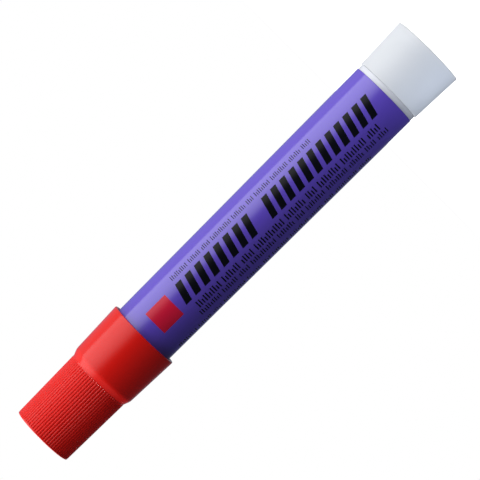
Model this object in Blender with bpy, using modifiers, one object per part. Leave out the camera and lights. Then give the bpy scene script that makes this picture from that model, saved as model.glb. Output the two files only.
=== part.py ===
"""Twist-up solid paint marker, standing on its tail with the cap on.

Units are metres. The marker's axis is +Z and the origin is the middle of the tail face.
Radii are worked out from the paint stick outwards, and heights from the tail face upwards.
"""

import math

import bmesh
import bpy
from mathutils import Matrix, Vector

# Paint stick
STICK_DIAMETER = 0.0132
POINT_HEIGHT = 0.0133
POINT_POWER = 2.15
TIP_ROUNDING = 0.0006
POINT_STEPS = 12
SOLID_PAINT_HEIGHT = 0.0190
STICK_HOLE_CLEARANCE = 0.0004

# Tail knob
KNOB_LENGTH = 0.0136
KNOB_STEP = 0.0002
KNOB_FLARE = 0.00055
KNOB_WALL = 0.0018
KNOB_FLOOR = 0.0026
KNOB_END_RADIUS = 0.0004
KNOB_SEAM_CHAMFER = 0.0002
KNOB_RIM_WIDTH = 0.0028
KNOB_DISH_DEPTH = 0.0004
HUB_WALL = 0.0012

# Barrel
BARREL_LENGTH = 0.0983
BARREL_FRONT_WALL = 0.00166
BARREL_REAR_WALL = 0.0023
BORE_CLEARANCE = 0.0003
MOUTH_CHAMFER = 0.0004
NECK_LENGTH = 0.0096
BARE_BAND_WIDTH = 0.0014
KEYWAY_DEPTH = 0.0007
KEYWAY_FRONT_MARGIN = 0.0105

# Printed film round the barrel
FILM_THICKNESS = 0.00025
FILM_GAP = 0.00015

# Bush that closes the rear of the barrel
BUSH_LENGTH = 0.0070
BUSH_STEP = 0.0007
BEAD_HEIGHT = 0.00025
BEAD_WIDTH = 0.0012
SEAL_SECTION = 0.0016

# Lead screw
SCREW_CORE_DIAMETER = 0.0040
THREAD_DEPTH = 0.0010
THREAD_PITCH = 0.0050
THREAD_CREST = 0.0012
THREAD_FLANK_SLOPE = 0.5
THREAD_CLEARANCE = 0.00025
THREAD_RUNOUT = 0.0010
FLANGE_THICKNESS = 0.0016
FLANGE_LIP = 0.0006
SQUARE_ACROSS = 0.0040
SQUARE_LENGTH = 0.0080
JOURNAL_SHOULDER = 0.00017

# Carrier that lifts the paint
NUT_LENGTH = 0.0090
NUT_WALL = 0.0012
CUP_FLOOR = 0.0018
CUP_DEPTH = 0.0080
CUP_WALL = 0.0011
KEY_WIDTH = 0.0022
KEY_ROOT = 0.0006
KEY_SIDE_GAP = 0.0002

# Cap
CAP_LAP = 0.0133
CAP_SHOULDER_RISE = 0.0009
CAP_CONE_HEIGHT = 0.0017
CAP_MOUTH_GAP = 0.00035
CAP_NECK_GAP = 0.00017
CAP_MOUTH_WALL = 0.0009
CAP_SHOULDER_WALL = 0.00062
CAP_RIM_RADIUS = 0.0003
CAP_LEAD_IN = 0.00025
GRIP_WALL = 0.0014
GRIP_DRAFT = 0.00035
GRIP_END_WALL = 0.0016
GRIP_END_RADIUS = 0.0006
CAP_BORE_CLEARANCE = 0.0007
CAP_BORE_DRAFT = 0.0003
POINT_CLEARANCE = 0.0024
RIB_COUNT = 70
RIB_DEPTH = 0.00022
RIB_START = 0.00015
RIB_END_MARGIN = 0.0003
LINER_THICKNESS = 0.0010
LINER_INSET = 0.00035

# Travel of the paint from its rest place
FORWARD_TRAVEL = 0.0050
POINT_SINK = 0.0007
PARK_GAP = 0.0005

# Gaps between pieces that run on each other, and between pieces fixed to each other
RUN_GAP = 0.0003
FIT_GAP = 0.00015

# Steps round a turned piece, round a thread's turn and round an edge
ROUND_STEPS = 48
INNER_STEPS = 32
SCREW_STEPS = 16
SEAL_STEPS = 8
EDGE_STEPS = 3
CUTTER_OVERRUN = 0.0010
SHARP_ANGLE = math.radians(32)
MERGE_DISTANCE = 0.00001

# Radii worked out from the sizes above
STICK_RADIUS = STICK_DIAMETER / 2
BORE_RADIUS = STICK_RADIUS + BORE_CLEARANCE
BARREL_FRONT_RADIUS = BORE_RADIUS + BARREL_FRONT_WALL
BARREL_REAR_RADIUS = BORE_RADIUS + BARREL_REAR_WALL
FILM_RECESS = FILM_THICKNESS + FILM_GAP
KEYWAY_RADIUS = BORE_RADIUS + KEYWAY_DEPTH
KNOB_SEAM_RADIUS = BARREL_REAR_RADIUS + KNOB_STEP
KNOB_END_OUTER_RADIUS = KNOB_SEAM_RADIUS + KNOB_FLARE
SOCKET_HALF = SQUARE_ACROSS / 2 + FIT_GAP
HUB_RADIUS = SOCKET_HALF * math.sqrt(2) + HUB_WALL
JOURNAL_RADIUS = SQUARE_ACROSS / math.sqrt(2) + JOURNAL_SHOULDER
SEAL_CENTRE_RADIUS = JOURNAL_RADIUS + FIT_GAP + SEAL_SECTION / 2
SEAL_POCKET_RADIUS = SEAL_CENTRE_RADIUS + SEAL_SECTION / 2 + FIT_GAP
FLANGE_RADIUS = SEAL_POCKET_RADIUS + FLANGE_LIP
BUSH_RADIUS = BORE_RADIUS + BUSH_STEP
COUNTERBORE_RADIUS = BUSH_RADIUS + FIT_GAP
CORE_RADIUS = SCREW_CORE_DIAMETER / 2
THREAD_RADIUS = CORE_RADIUS + THREAD_DEPTH
NUT_BORE_RADIUS = CORE_RADIUS + THREAD_CLEARANCE
NUT_RADIUS = THREAD_RADIUS + THREAD_CLEARANCE + NUT_WALL
CUP_INNER_RADIUS = STICK_RADIUS - CUP_WALL
FOOT_RADIUS = CUP_INNER_RADIUS - FIT_GAP
STICK_HOLE_RADIUS = THREAD_RADIUS + STICK_HOLE_CLEARANCE
CAP_BORE_ROOT_RADIUS = STICK_RADIUS + CAP_BORE_CLEARANCE
CAP_BORE_END_RADIUS = CAP_BORE_ROOT_RADIUS - CAP_BORE_DRAFT
GRIP_ROOT_RADIUS = CAP_BORE_ROOT_RADIUS + GRIP_WALL
GRIP_END_OUTER_RADIUS = GRIP_ROOT_RADIUS - GRIP_DRAFT
CAP_NECK_RADIUS = BARREL_FRONT_RADIUS + CAP_NECK_GAP
CAP_SHOULDER_RADIUS = CAP_NECK_RADIUS + CAP_SHOULDER_WALL
LINER_RADIUS = BARREL_FRONT_RADIUS - LINER_INSET
LINER_POCKET_RADIUS = LINER_RADIUS + FIT_GAP

# Heights worked out from the sizes above
BARREL_REAR = KNOB_LENGTH + RUN_GAP
BARREL_FRONT = BARREL_REAR + BARREL_LENGTH
FILM_REAR = BARREL_REAR + BARE_BAND_WIDTH
FILM_FRONT = BARREL_FRONT - NECK_LENGTH
BUSH_TOP = BARREL_REAR + BUSH_LENGTH
BEAD_MIDDLE = BARREL_REAR + BUSH_LENGTH / 2
FLANGE_BOTTOM = BUSH_TOP + RUN_GAP
FLANGE_TOP = FLANGE_BOTTOM + FLANGE_THICKNESS
SEAL_POCKET_FLOOR = FLANGE_BOTTOM - SEAL_SECTION - 2 * FIT_GAP
RETRACT_TRAVEL = POINT_HEIGHT + POINT_SINK
NUT_BOTTOM = FLANGE_TOP + PARK_GAP + RETRACT_TRAVEL
CUP_FLOOR_TOP = NUT_BOTTOM + NUT_LENGTH
CUP_FLOOR_BOTTOM = CUP_FLOOR_TOP - CUP_FLOOR
CUP_RIM = CUP_FLOOR_TOP + CUP_DEPTH
FOOT_BOTTOM = CUP_FLOOR_TOP + FIT_GAP
STICK_SHOULDER = CUP_RIM + FIT_GAP
POINT_TOP = BARREL_FRONT + POINT_HEIGHT
STICK_HOLE_TOP = POINT_TOP - SOLID_PAINT_HEIGHT
SCREW_TOP = STICK_HOLE_TOP - RETRACT_TRAVEL - PARK_GAP
THREAD_TOP = SCREW_TOP - THREAD_RUNOUT - THREAD_CREST
THREAD_TURNS = (THREAD_TOP - FLANGE_TOP - THREAD_RUNOUT - THREAD_CREST) / THREAD_PITCH
KEYWAY_FRONT = BARREL_FRONT - KEYWAY_FRONT_MARGIN
CAP_MOUTH = BARREL_FRONT - CAP_LAP
CAP_SHOULDER = BARREL_FRONT + CAP_SHOULDER_RISE
GRIP_ROOT = CAP_SHOULDER + CAP_CONE_HEIGHT
CAP_BORE_END = POINT_TOP + FORWARD_TRAVEL + POINT_CLEARANCE
CAP_END = CAP_BORE_END + GRIP_END_WALL
LINER_BOTTOM = BARREL_FRONT + RUN_GAP
LINER_TOP = LINER_BOTTOM + LINER_THICKNESS
CAP_INNER_SHOULDER = LINER_TOP + FIT_GAP


def barrel_radius(height):
    """Outer radius of the drafted barrel at a height."""
    share = (height - BARREL_REAR) / BARREL_LENGTH
    return BARREL_REAR_RADIUS + (BARREL_FRONT_RADIUS - BARREL_REAR_RADIUS) * share


CAP_MOUTH_INNER_RADIUS = barrel_radius(CAP_MOUTH) + CAP_MOUTH_GAP
CAP_MOUTH_RADIUS = CAP_MOUTH_INNER_RADIUS + CAP_MOUTH_WALL


# Modelling helpers


def new_collection(name):
    """A collection linked to the scene."""
    collection = bpy.data.collections.new(name)
    bpy.context.scene.collection.children.link(collection)
    return collection


def settle(piece):
    """Replace a piece's mesh by the one that its modifiers make."""
    depsgraph = bpy.context.evaluated_depsgraph_get()
    old_mesh = piece.data
    piece.data = bpy.data.meshes.new_from_object(piece.evaluated_get(depsgraph))
    piece.modifiers.clear()
    bpy.data.meshes.remove(old_mesh)
    piece.data.name = piece.name


def outline_object(name, outline, closed, collection):
    """An object that holds a profile as a chain of edges in the XZ plane."""
    count = len(outline)
    corners = [(radius, 0.0, height) for radius, height in outline]
    edges = [(index, index + 1) for index in range(count - 1)]
    if closed:
        edges.append((count - 1, 0))
    mesh = bpy.data.meshes.new(name)
    mesh.from_pydata(corners, edges, [])
    piece = bpy.data.objects.new(name, mesh)
    collection.objects.link(piece)
    return piece


def turned(name, outline, steps, collection):
    """A solid turned about Z from a profile that runs down its outer side."""
    closed = outline[0][0] > 0
    piece = outline_object(name, outline, closed, collection)
    screw = piece.modifiers.new("turn", "SCREW")
    screw.axis = "Z"
    screw.steps = steps
    screw.render_steps = steps
    screw.use_merge_vertices = True
    screw.merge_threshold = MERGE_DISTANCE
    settle(piece)
    return piece


def edge_arc(centre_radius, centre_height, radius, start, end):
    """Points round an edge, from one angle to another in degrees, measured up from outwards."""
    points = []
    for step in range(EDGE_STEPS + 1):
        angle = math.radians(start + (end - start) * step / EDGE_STEPS)
        point_radius = centre_radius + radius * math.cos(angle)
        point_height = centre_height + radius * math.sin(angle)
        points.append((point_radius, point_height))
    return points


def blocks(name, boxes, collection):
    """One object of several boxes, each given by its lowest and highest corner."""
    mesh = bpy.data.meshes.new(name)
    shape = bmesh.new()
    for low, high in boxes:
        size = Vector(high) - Vector(low)
        centre = (Vector(high) + Vector(low)) / 2
        place = Matrix.Translation(centre) @ Matrix.Diagonal((*size, 1))
        bmesh.ops.create_cube(shape, size=1, matrix=place)
    shape.to_mesh(mesh)
    shape.free()
    piece = bpy.data.objects.new(name, mesh)
    collection.objects.link(piece)
    return piece


def thread_width(radius):
    """Width of the thread ridge along the axis at a radius."""
    return THREAD_CREST + 2 * (THREAD_RADIUS - radius) * THREAD_FLANK_SLOPE


def thread_ridge(name, inner_radius, clearance, top, turns):
    """A left-handed thread ridge that runs down from a height, closed at both ends."""
    outer_radius = THREAD_RADIUS + clearance
    crest_half = thread_width(THREAD_RADIUS) / 2 + clearance
    root_half = thread_width(inner_radius) / 2 + clearance
    outline = [
        (outer_radius, top + crest_half),
        (outer_radius, top - crest_half),
        (inner_radius, top - root_half),
        (inner_radius, top + root_half),
    ]
    ridge = outline_object(name, outline, True, CUTTERS)
    steps = round(turns * SCREW_STEPS)
    screw = ridge.modifiers.new("wind", "SCREW")
    screw.axis = "Z"
    screw.angle = math.tau * turns
    screw.screw_offset = -THREAD_PITCH * turns
    screw.steps = steps
    screw.render_steps = steps
    screw.use_merge_vertices = False
    settle(ridge)
    shape = bmesh.new()
    shape.from_mesh(ridge.data)
    open_edges = [edge for edge in shape.edges if edge.is_boundary]
    bmesh.ops.holes_fill(shape, edges=open_edges)
    bmesh.ops.recalc_face_normals(shape, faces=shape.faces)
    shape.to_mesh(ridge.data)
    shape.free()
    return ridge


def combine(piece, tool, operation):
    """Cut a tool out of a piece, or join it on, and keep the tool as a hidden guide."""
    boolean = piece.modifiers.new(tool.name, "BOOLEAN")
    boolean.object = tool
    boolean.operation = operation
    boolean.solver = "EXACT"
    settle(piece)
    tool.hide_render = True
    tool.display_type = "WIRE"


def material(name, colour, roughness):
    """A plastic, rubber or paint surface."""
    surface = bpy.data.materials.new(name)
    surface.use_nodes = True
    shader = surface.node_tree.nodes["Principled BSDF"]
    shader.inputs["Base Color"].default_value = (*colour, 1.0)
    shader.inputs["Roughness"].default_value = roughness
    shader.inputs["Metallic"].default_value = 0.0
    return surface


def finish(piece, surface, carrier):
    """Shade a piece, give it its surface and hang it on the frame that carries it."""
    piece.data.shade_smooth()
    piece.data.set_sharp_from_angle(angle=SHARP_ANGLE)
    piece.data.materials.clear()
    piece.data.materials.append(surface)
    piece.parent = carrier
    piece.matrix_parent_inverse = Matrix.Translation(-carrier.location)


def carrier_frame(name, height, parent):
    """An empty on the marker's axis that a group of pieces moves with."""
    frame = bpy.data.objects.new(name, None)
    frame.empty_display_size = STICK_RADIUS
    frame.location = (0.0, 0.0, height)
    frame.parent = parent
    PARTS.objects.link(frame)
    return frame


# Pieces fixed to the barrel


def make_barrel(carrier):
    """The drafted tube, with its film recess, rear counterbore, bead groove and two keyways."""
    groove_top = BEAD_MIDDLE + BEAD_WIDTH / 2 + FIT_GAP
    groove_bottom = BEAD_MIDDLE - BEAD_WIDTH / 2 - FIT_GAP
    groove_radius = COUNTERBORE_RADIUS + BEAD_HEIGHT
    counterbore_top = BUSH_TOP + FIT_GAP
    outline = [
        (BARREL_FRONT_RADIUS - MOUTH_CHAMFER, BARREL_FRONT),
        (BARREL_FRONT_RADIUS, BARREL_FRONT - MOUTH_CHAMFER),
        (barrel_radius(FILM_FRONT), FILM_FRONT),
        (barrel_radius(FILM_FRONT) - FILM_RECESS, FILM_FRONT),
        (barrel_radius(FILM_REAR) - FILM_RECESS, FILM_REAR),
        (barrel_radius(FILM_REAR), FILM_REAR),
        (BARREL_REAR_RADIUS, BARREL_REAR),
        (COUNTERBORE_RADIUS, BARREL_REAR),
        (COUNTERBORE_RADIUS, groove_bottom),
        (groove_radius, BEAD_MIDDLE),
        (COUNTERBORE_RADIUS, groove_top),
        (COUNTERBORE_RADIUS, counterbore_top),
        (BORE_RADIUS, counterbore_top),
        (BORE_RADIUS, BARREL_FRONT),
    ]
    barrel = turned("barrel", outline, ROUND_STEPS, PARTS)
    half_width = KEY_WIDTH / 2 + KEY_SIDE_GAP
    inner = BORE_RADIUS - CUTTER_OVERRUN
    low = counterbore_top - CUTTER_OVERRUN
    boxes = [
        ((inner, -half_width, low), (KEYWAY_RADIUS, half_width, KEYWAY_FRONT)),
        ((-KEYWAY_RADIUS, -half_width, low), (-inner, half_width, KEYWAY_FRONT)),
    ]
    combine(barrel, blocks("keyway_cutter", boxes, CUTTERS), "DIFFERENCE")
    finish(barrel, material("white_barrel_plastic", (0.86, 0.87, 0.88), 0.38), carrier)


def make_label_film(carrier):
    """The printed wrap, flush with the bare ends of the barrel."""
    rear = FILM_REAR + FIT_GAP
    front = FILM_FRONT - FIT_GAP
    outline = [
        (barrel_radius(front), front),
        (barrel_radius(rear), rear),
        (barrel_radius(rear) - FILM_THICKNESS, rear),
        (barrel_radius(front) - FILM_THICKNESS, front),
    ]
    film = turned("label_film", outline, ROUND_STEPS, PARTS)
    finish(film, material("violet_film", (0.09, 0.055, 0.44), 0.3), carrier)


def make_rear_bush(carrier):
    """The bearing snapped into the rear of the barrel, with a pocket for the seal."""
    hole_radius = JOURNAL_RADIUS + RUN_GAP
    outline = [
        (BUSH_RADIUS, BUSH_TOP),
        (BUSH_RADIUS, BEAD_MIDDLE + BEAD_WIDTH / 2),
        (BUSH_RADIUS + BEAD_HEIGHT, BEAD_MIDDLE),
        (BUSH_RADIUS, BEAD_MIDDLE - BEAD_WIDTH / 2),
        (BUSH_RADIUS, BARREL_REAR),
        (hole_radius, BARREL_REAR),
        (hole_radius, SEAL_POCKET_FLOOR),
        (SEAL_POCKET_RADIUS, SEAL_POCKET_FLOOR),
        (SEAL_POCKET_RADIUS, BUSH_TOP),
    ]
    bush = turned("rear_bush", outline, INNER_STEPS, PARTS)
    finish(bush, material("white_bush_plastic", (0.8, 0.81, 0.82), 0.45), carrier)


# Pieces that turn with the knob


def make_twist_knob(carrier):
    """The flared tail knob, cored from the barrel side, with a hub that grips the square."""
    hub_top = KNOB_LENGTH
    pocket_radius = KNOB_SEAM_RADIUS - KNOB_WALL
    rim_outer = KNOB_END_OUTER_RADIUS - KNOB_END_RADIUS
    dish_radius = KNOB_END_OUTER_RADIUS - KNOB_RIM_WIDTH
    outline = [
        (0.0, hub_top),
        (HUB_RADIUS, hub_top),
        (HUB_RADIUS, KNOB_FLOOR),
        (pocket_radius, KNOB_FLOOR),
        (pocket_radius, KNOB_LENGTH),
        (KNOB_SEAM_RADIUS - KNOB_SEAM_CHAMFER, KNOB_LENGTH),
        (KNOB_SEAM_RADIUS, KNOB_LENGTH - KNOB_SEAM_CHAMFER),
    ]
    outline += edge_arc(rim_outer, KNOB_END_RADIUS, KNOB_END_RADIUS, 0, -90)
    outline += [
        (dish_radius, 0.0),
        (dish_radius - KNOB_DISH_DEPTH, KNOB_DISH_DEPTH),
        (0.0, KNOB_DISH_DEPTH),
    ]
    knob = turned("twist_knob", outline, ROUND_STEPS, PARTS)
    socket_bottom = BARREL_REAR - SQUARE_LENGTH - RUN_GAP
    socket = [
        (
            (-SOCKET_HALF, -SOCKET_HALF, socket_bottom),
            (SOCKET_HALF, SOCKET_HALF, hub_top + CUTTER_OVERRUN),
        )
    ]
    combine(knob, blocks("socket_cutter", socket, CUTTERS), "DIFFERENCE")
    finish(knob, material("white_knob_plastic", (0.88, 0.89, 0.91), 0.32), carrier)


def make_lead_screw(carrier):
    """The spindle: threaded rod, thrust flange, journal and the square that drives it."""
    tip_radius = CORE_RADIUS - THREAD_RUNOUT / 2
    outline = [
        (0.0, SCREW_TOP),
        (tip_radius, SCREW_TOP),
        (CORE_RADIUS, SCREW_TOP - THREAD_RUNOUT / 2),
        (CORE_RADIUS, FLANGE_TOP),
        (FLANGE_RADIUS, FLANGE_TOP),
        (FLANGE_RADIUS, FLANGE_BOTTOM),
        (JOURNAL_RADIUS, FLANGE_BOTTOM),
        (JOURNAL_RADIUS, BARREL_REAR),
        (0.0, BARREL_REAR),
    ]
    screw = turned("lead_screw", outline, SCREW_STEPS, PARTS)
    root_radius = CORE_RADIUS - THREAD_CLEARANCE
    ridge = thread_ridge("thread_ridge", root_radius, 0.0, THREAD_TOP, THREAD_TURNS)
    combine(screw, ridge, "UNION")
    half = SQUARE_ACROSS / 2
    square = [((-half, -half, BARREL_REAR - SQUARE_LENGTH), (half, half, BARREL_REAR + RUN_GAP))]
    combine(screw, blocks("drive_square", square, CUTTERS), "UNION")
    finish(screw, material("white_screw_plastic", (0.78, 0.79, 0.8), 0.42), carrier)


def make_spindle_seal(carrier):
    """The rubber ring round the journal, held under the thrust flange."""
    middle = SEAL_POCKET_FLOOR + FIT_GAP + SEAL_SECTION / 2
    outline = []
    for step in range(SEAL_STEPS):
        angle = -math.tau * step / SEAL_STEPS
        radius = SEAL_CENTRE_RADIUS + SEAL_SECTION / 2 * math.cos(angle)
        outline.append((radius, middle + SEAL_SECTION / 2 * math.sin(angle)))
    seal = turned("spindle_seal", outline, INNER_STEPS, PARTS)
    finish(seal, material("black_seal_rubber", (0.02, 0.02, 0.022), 0.6), carrier)


# Pieces that climb the screw


def make_stick_carrier(carrier):
    """The cup that holds the paint's foot, with its threaded nut and two keys."""
    outline = [
        (STICK_RADIUS, CUP_RIM),
        (STICK_RADIUS, CUP_FLOOR_BOTTOM),
        (NUT_RADIUS, CUP_FLOOR_BOTTOM),
        (NUT_RADIUS, NUT_BOTTOM),
        (NUT_BORE_RADIUS, NUT_BOTTOM),
        (NUT_BORE_RADIUS, CUP_FLOOR_TOP),
        (CUP_INNER_RADIUS, CUP_FLOOR_TOP),
        (CUP_INNER_RADIUS, CUP_RIM),
    ]
    cup = turned("stick_carrier", outline, INNER_STEPS, PARTS)
    key_inner = STICK_RADIUS - KEY_ROOT
    key_outer = KEYWAY_RADIUS - RUN_GAP
    half_width = KEY_WIDTH / 2
    boxes = [
        ((key_inner, -half_width, CUP_FLOOR_BOTTOM), (key_outer, half_width, CUP_RIM)),
        ((-key_outer, -half_width, CUP_FLOOR_BOTTOM), (-key_inner, half_width, CUP_RIM)),
    ]
    combine(cup, blocks("carrier_keys", boxes, CUTTERS), "UNION")
    whole_turns_above = math.floor((THREAD_TOP - CUP_FLOOR_TOP) / THREAD_PITCH) - 1
    tap_top = THREAD_TOP - whole_turns_above * THREAD_PITCH
    tap_turns = (tap_top - NUT_BOTTOM) / THREAD_PITCH + 1
    tap = thread_ridge("nut_tap", CORE_RADIUS, THREAD_CLEARANCE, tap_top, tap_turns)
    combine(cup, tap, "DIFFERENCE")
    finish(cup, material("white_carrier_plastic", (0.82, 0.83, 0.84), 0.45), carrier)


def point_radius(depth):
    """Radius of the paint's point at a depth below its tip: an ogive with the tip rounded off."""
    reach = math.sqrt(depth * (depth + 2 * TIP_ROUNDING))
    full_reach = math.sqrt(POINT_HEIGHT * (POINT_HEIGHT + 2 * TIP_ROUNDING))
    return STICK_RADIUS * (1 - (1 - reach / full_reach) ** POINT_POWER)


def make_paint_stick(carrier):
    """The stick of solid paint: shaped point, body, foot in the cup and hole for the screw."""
    outline = []
    for step in range(POINT_STEPS + 1):
        depth = POINT_HEIGHT * (1 - math.cos(math.pi / 2 * step / POINT_STEPS))
        outline.append((point_radius(depth), POINT_TOP - depth))
    outline += [
        (STICK_RADIUS, STICK_SHOULDER),
        (FOOT_RADIUS, STICK_SHOULDER),
        (FOOT_RADIUS, FOOT_BOTTOM),
        (STICK_HOLE_RADIUS, FOOT_BOTTOM),
        (STICK_HOLE_RADIUS, STICK_HOLE_TOP),
        (0.0, STICK_HOLE_TOP),
    ]
    stick = turned("paint_stick", outline, INNER_STEPS, PARTS)
    finish(stick, material("red_solid_paint", (0.74, 0.02, 0.035), 0.3), carrier)


# Pieces that pull off with the cap


def make_cap_shell(carrier):
    """The cap: flared mouth, short cone and a ribbed grip, hollowed from the mouth."""
    rim_radius = CAP_MOUTH_RADIUS - CAP_RIM_RADIUS
    outline = [(0.0, CAP_END)]
    outline += edge_arc(
        GRIP_END_OUTER_RADIUS - GRIP_END_RADIUS,
        CAP_END - GRIP_END_RADIUS,
        GRIP_END_RADIUS,
        90,
        0,
    )
    outline += [
        (GRIP_END_OUTER_RADIUS, CAP_END - GRIP_END_RADIUS - RIB_END_MARGIN),
        (GRIP_ROOT_RADIUS, GRIP_ROOT + RIB_START),
        (GRIP_ROOT_RADIUS, GRIP_ROOT),
        (CAP_SHOULDER_RADIUS, CAP_SHOULDER),
    ]
    outline += edge_arc(rim_radius, CAP_MOUTH + CAP_RIM_RADIUS, CAP_RIM_RADIUS, 0, -90)
    outline.append((0.0, CAP_MOUTH))
    shell = turned("cap_shell", outline, 2 * RIB_COUNT, PARTS)
    pull_in_grooves(shell)
    neck_edge = BARREL_FRONT - MOUTH_CHAMFER
    below_mouth = CAP_MOUTH - CUTTER_OVERRUN
    cavity_outline = [
        (0.0, CAP_BORE_END),
        (CAP_BORE_END_RADIUS, CAP_BORE_END),
        (CAP_BORE_ROOT_RADIUS, CAP_INNER_SHOULDER),
        (LINER_POCKET_RADIUS, CAP_INNER_SHOULDER),
        (LINER_POCKET_RADIUS, LINER_BOTTOM),
        (CAP_NECK_RADIUS, neck_edge),
        (CAP_MOUTH_INNER_RADIUS, CAP_MOUTH + CAP_LEAD_IN),
        (CAP_MOUTH_INNER_RADIUS + CAP_LEAD_IN, CAP_MOUTH),
        (CAP_MOUTH_INNER_RADIUS + CAP_LEAD_IN, below_mouth),
        (0.0, below_mouth),
    ]
    cavity = turned("cap_cavity_cutter", cavity_outline, ROUND_STEPS, CUTTERS)
    combine(shell, cavity, "DIFFERENCE")
    finish(shell, material("red_cap_plastic", (0.66, 0.022, 0.018), 0.28), carrier)


def pull_in_grooves(shell):
    """Pull every second line of the grip's points in, which leaves ribs between them."""
    grip_low = GRIP_ROOT + RIB_START / 2
    grip_high = CAP_END - GRIP_END_RADIUS - RIB_END_MARGIN / 2
    step_angle = math.pi / RIB_COUNT
    for vertex in shell.data.vertices:
        if not grip_low < vertex.co.z < grip_high:
            continue
        line = round(math.atan2(vertex.co.y, vertex.co.x) / step_angle)
        if line % 2 == 1:
            radius = vertex.co.xy.length
            scale = (radius - RIB_DEPTH) / radius
            vertex.co.x *= scale
            vertex.co.y *= scale


def make_cap_liner(carrier):
    """The soft ring that the barrel's front edge closes against."""
    outline = [
        (LINER_RADIUS, LINER_TOP),
        (LINER_RADIUS, LINER_BOTTOM),
        (CAP_BORE_ROOT_RADIUS, LINER_BOTTOM),
        (CAP_BORE_ROOT_RADIUS, LINER_TOP),
    ]
    liner = turned("cap_liner", outline, ROUND_STEPS, PARTS)
    finish(liner, material("white_liner_foam", (0.85, 0.85, 0.84), 0.8), carrier)


def clear_scene():
    """Remove whatever the scene holds."""
    for piece in list(bpy.data.objects):
        bpy.data.objects.remove(piece, do_unlink=True)


def build_marker():
    """Build every piece on the frame that it moves with."""
    marker = carrier_frame("marker", 0.0, None)
    make_barrel(marker)
    make_label_film(marker)
    make_rear_bush(marker)
    knob_turn = carrier_frame("knob_turn", 0.0, marker)
    make_twist_knob(knob_turn)
    make_lead_screw(knob_turn)
    make_spindle_seal(knob_turn)
    paint_feed = carrier_frame("paint_feed", NUT_BOTTOM, marker)
    make_stick_carrier(paint_feed)
    make_paint_stick(paint_feed)
    cap_pull = carrier_frame("cap_pull", CAP_MOUTH, marker)
    make_cap_shell(cap_pull)
    make_cap_liner(cap_pull)


clear_scene()
PARTS = new_collection("solid_paint_marker")
CUTTERS = new_collection("solid_paint_marker_cutters")
build_marker()
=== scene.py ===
"""Looks of the twist-up solid paint marker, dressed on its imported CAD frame.

Units are metres. The marker stands on its tail face with its axis on +Z, and its
printed front faces -Y. Every piece is turned about the axis, or lies on the barrel's
taper.
"""

import itertools
import logging
import math
from collections.abc import Callable, Sequence
from dataclasses import dataclass, replace
from enum import Enum

import bmesh
import bpy
from mathutils import Matrix, Vector


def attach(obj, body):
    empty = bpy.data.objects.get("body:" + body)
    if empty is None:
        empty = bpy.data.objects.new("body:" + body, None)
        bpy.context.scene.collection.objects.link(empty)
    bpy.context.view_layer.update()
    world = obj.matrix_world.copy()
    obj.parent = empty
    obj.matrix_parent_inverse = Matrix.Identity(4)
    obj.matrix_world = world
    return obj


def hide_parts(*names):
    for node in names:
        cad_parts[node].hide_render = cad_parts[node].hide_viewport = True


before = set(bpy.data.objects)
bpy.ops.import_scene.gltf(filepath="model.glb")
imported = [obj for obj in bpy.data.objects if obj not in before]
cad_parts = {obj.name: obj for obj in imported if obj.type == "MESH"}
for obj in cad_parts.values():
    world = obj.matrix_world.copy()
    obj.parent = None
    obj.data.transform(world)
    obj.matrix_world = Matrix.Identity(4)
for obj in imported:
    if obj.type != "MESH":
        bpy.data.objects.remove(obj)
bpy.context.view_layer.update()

LOG = logging.getLogger("marker_looks")
SMOOTH_ANGLE = math.radians(28)
WELD_DISTANCE = 1e-7

Colour = tuple[float, float, float]
Point = tuple[float, float, float]
OPAQUE_WHITE = (1.0, 1.0, 1.0, 1.0)


class Body(Enum):
    """The CAD bodies that pieces ride on."""

    BARREL = "barrel_body"
    KNOB = "knob_body"
    PAINT = "paint_body"
    CAP = "cap_body"


class Slot(Enum):
    """The record's material slots of the pieces that are made here."""

    BARREL = "barrel_plastic"
    PRINT = "label_print"
    KNOB = "knob_plastic"
    PAINT = "solid_paint"
    CAP = "cap_plastic"


class Light(Enum):
    """The colour of a part of the studio's light."""

    KEY = (1.0, 1.0, 1.0)
    FILL = (0.84, 0.95, 1.18)
    PALE = (0.89, 0.974, 1.129)


class Grain(Enum):
    """What the fine relief of a finish looks like."""

    MOULDED = "even cloudy grain of a spark-eroded mould"
    DRAWN = "faint lines along the axis, from wrapping and handling"
    CELLS = "small open cells"


class MixSocket:
    """Places of the sockets of a Mix node that mixes colours."""

    FACTOR = 0
    FIRST = 6
    SECOND = 7
    RESULT = 2


# Finishes


class NodeGraph:
    """A material's node tree, with the few nodes that the finishes share."""

    def __init__(self, name: str) -> None:
        """Start a material that holds one Principled shader.

        Args:
            name: Name of the material.
        """
        self.material = bpy.data.materials.new(name)
        self.material.use_nodes = True
        self.tree = self.material.node_tree
        self.shader = self.tree.nodes["Principled BSDF"]

    def add(self, kind: str, **values: float | str | bool) -> bpy.types.Node:
        """Add a node and set its sockets and settings.

        Args:
            kind: Blender's type name of the node.
            **values: Socket values, by name with spaces as underscores, or settings.

        Returns:
            The new node.
        """
        node = self.tree.nodes.new(kind)
        for name, value in values.items():
            socket = node.inputs.get(name.replace("_", " "))
            if socket is not None:
                socket.default_value = value
            else:
                setattr(node, name, value)
        return node

    def link(self, source: bpy.types.NodeSocket, target: bpy.types.NodeSocket) -> None:
        """Join an output to an input."""
        self.tree.links.new(source, target)

    def set(self, name: str, value: float | Sequence[float]) -> None:
        """Set a value on the shader's own socket."""
        self.shader.inputs[name].default_value = value


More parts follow.
